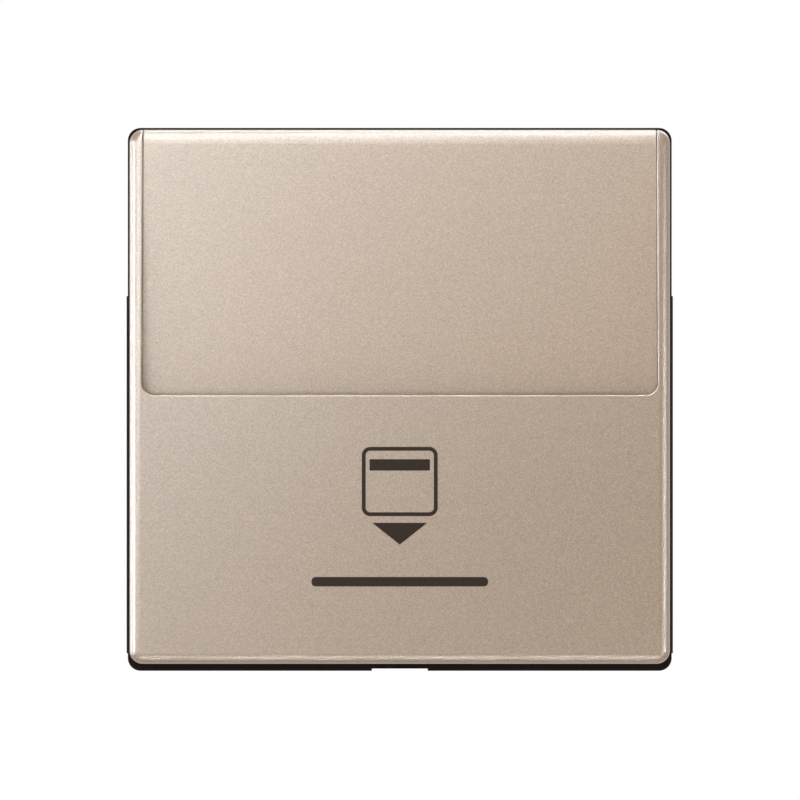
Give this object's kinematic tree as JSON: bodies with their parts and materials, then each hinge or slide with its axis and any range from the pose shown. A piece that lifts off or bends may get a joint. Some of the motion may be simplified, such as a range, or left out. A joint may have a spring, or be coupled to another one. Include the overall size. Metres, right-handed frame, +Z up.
{
  "type": "hotel key card switch",
  "caption": "Square wall switch with a slot for a hotel key card: the card tilts a lever that presses a push-button contact; claws hold it in a flush box.",
  "frame": {"origin": "centre of the switch in the wall plane, at the rear face of the carrier plate", "axes": "+Z up the wall, +X to the right seen from the room, +Y into the wall"},
  "size_m": [0.0576, 0.0385, 0.0574],
  "materials": {
    "champagne_lacquer": "satin metallic lacquer on moulded plastic",
    "dark_abs": "moulded, fine matt grain",
    "black_abs": "moulded, matt",
    "white_pc": "moulded, satin",
    "grey_thermoset": "pressed thermoset, matt",
    "orange_pbt": "moulded, satin",
    "zinc_steel": "bright zinc plate",
    "screw_steel": "zinc plate",
    "spring_steel": "bright drawn",
    "contact_brass": "rolled",
    "contact_silver": "polished silver"
  },
  "bodies": {
    "housing": {"front_cover": "champagne_lacquer", "upper_panel": "champagne_lacquer", "rear_housing": "dark_abs", "card_back_plate": "black_abs", "card_springs": "spring_steel", "lever_pin": "spring_steel", "lever_spring": "spring_steel", "housing_screws": "screw_steel", "carrier_plate": "zinc_steel", "front_frame": "white_pc", "plate_rivets": "screw_steel", "button_spring": "spring_steel", "contact_spring": "spring_steel", "contact_strip_left": "contact_brass", "contact_strip_right": "contact_brass", "fixed_contacts": "contact_silver", "terminal_clamps": "spring_steel", "switch_base": "grey_thermoset", "base_rear_cover": "grey_thermoset", "frame_screws": "screw_steel", "claw_nut_left": "screw_steel", "claw_nut_right": "screw_steel"},
    "card_lever": {"card_lever": "black_abs"},
    "push_button": {"push_button": "white_pc"},
    "contact_bridge": {"contact_bridge": "contact_brass", "bridge_contacts": "contact_silver"},
    "claw_left": {"claw_left": "zinc_steel"},
    "claw_right": {"claw_right": "zinc_steel"},
    "claw_screw_left": {"claw_screw_left": "screw_steel"},
    "claw_screw_right": {"claw_screw_right": "screw_steel"},
    "release_lever_left": {"release_lever_left": "orange_pbt"},
    "release_lever_right": {"release_lever_right": "orange_pbt"}
  },
  "joints": [
    {"name": "card_lever_pivot", "type": "hinge", "parent": "housing", "child": "card_lever", "pos_m": [0, -0.01121, 0.01], "axis": [1, 0, 0], "range_deg": [0, 5.8], "stiffness_Nm_per_rad": 0.1, "deforming": ["lever_spring"]},
    {"name": "push_button_slide", "type": "slide", "parent": "housing", "child": "push_button", "axis": [0, 1, 0], "range_m": [0, 0.0015], "deforming": ["button_spring", "contact_spring"]},
    {"name": "contact_bridge_slide", "type": "slide", "parent": "housing", "child": "contact_bridge", "axis": [0, 1, 0], "range_m": [0, 0.0012]},
    {"name": "claw_screw_left_turn", "type": "hinge", "parent": "housing", "child": "claw_screw_left", "pos_m": [-0.021, -0.0012, 0], "axis": [0, 1, 0], "range_deg": [0, 1080]},
    {"name": "claw_left_spread", "type": "hinge", "parent": "housing", "child": "claw_left", "pos_m": [-0.021, 0.005, 0], "axis": [0, 0, 1], "range_deg": [0, 14]},
    {"name": "release_lever_left_push", "type": "slide", "parent": "housing", "child": "release_lever_left", "axis": [0, -1, 0], "range_m": [0, 0.001], "stiffness_N_per_m": 500},
    {"name": "claw_screw_right_turn", "type": "hinge", "parent": "housing", "child": "claw_screw_right", "pos_m": [0.021, -0.0012, 0], "axis": [0, 1, 0], "range_deg": [0, 1080]},
    {"name": "claw_right_spread", "type": "hinge", "parent": "housing", "child": "claw_right", "pos_m": [0.021, 0.005, 0], "axis": [0, 0, -1], "range_deg": [0, 14]},
    {"name": "release_lever_right_push", "type": "slide", "parent": "housing", "child": "release_lever_right", "axis": [0, -1, 0], "range_m": [0, 0.001], "stiffness_N_per_m": 500}
  ],
  "couplings": [
    {"joint": "card_lever_pivot", "follows": "push_button_slide", "rad_per_m": 67.48},
    {"joint": "contact_bridge_slide", "follows": "push_button_slide", "ratio": 0.799},
    {"joint": "claw_left_spread", "follows": "claw_screw_left_turn", "ratio": 0.01296},
    {"joint": "claw_right_spread", "follows": "claw_screw_right_turn", "ratio": 0.01296}
  ]
}
